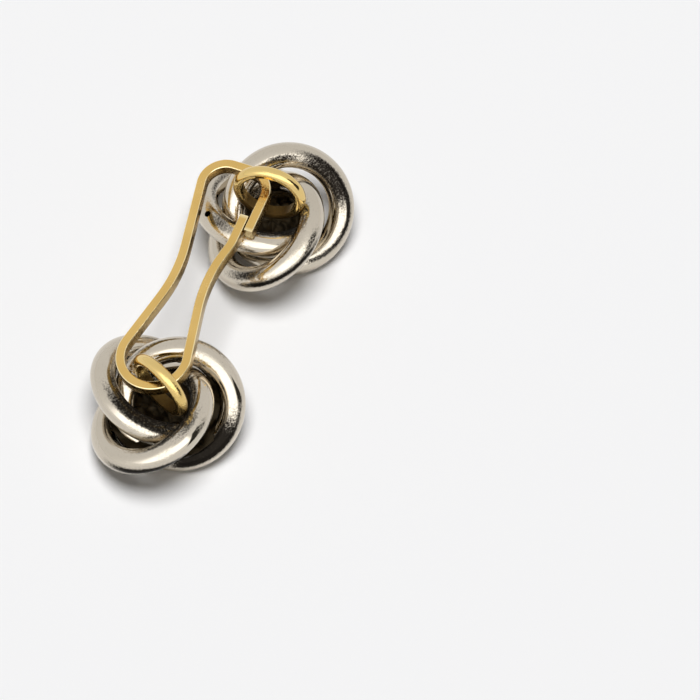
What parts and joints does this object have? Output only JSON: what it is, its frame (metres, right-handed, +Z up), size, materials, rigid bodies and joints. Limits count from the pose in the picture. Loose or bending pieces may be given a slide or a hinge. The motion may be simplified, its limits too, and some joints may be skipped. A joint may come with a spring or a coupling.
{
  "type": "cufflink",
  "caption": "Double-sided knot cufflink: a knot of interlocked hollow rings at each end of a waisted wire link, each knot swinging on a soldered eye.",
  "frame": {"origin": "middle of the box around the cufflink, on the floor it lies on with both knots face down", "axes": "+X along the link from head A to head B, where the wire is hooked closed; +Z up, from the knots' faces to the link"},
  "size_m": [0.0326, 0.0146, 0.0108],
  "materials": {
    "white_gold": "mirror-polished white gold, lightly scratched",
    "yellow_gold": "polished yellow gold, finely worn"
  },
  "bodies": {
    "link": {"link_wire": "yellow_gold"},
    "head_a": {"head_a_ring_1": "white_gold", "head_a_ring_2": "white_gold", "head_a_ring_3": "white_gold", "head_a_eye": "yellow_gold"},
    "head_b": {"head_b_ring_1": "white_gold", "head_b_ring_2": "white_gold", "head_b_ring_3": "white_gold", "head_b_eye": "yellow_gold"}
  },
  "joints": [
    {"name": "head_a_swing", "type": "hinge", "parent": "link", "child": "head_a", "pos_m": [-0.00957, 0.00026, 0.00762], "axis": [-0.9121, 0.4099, 0], "range_deg": [0, 190]},
    {"name": "head_b_swing", "type": "hinge", "parent": "link", "child": "head_b", "pos_m": [0.01008, -0.00054, 0.00773], "axis": [-0.9921, -0.1253, 0], "range_deg": [0, 190]}
  ]
}
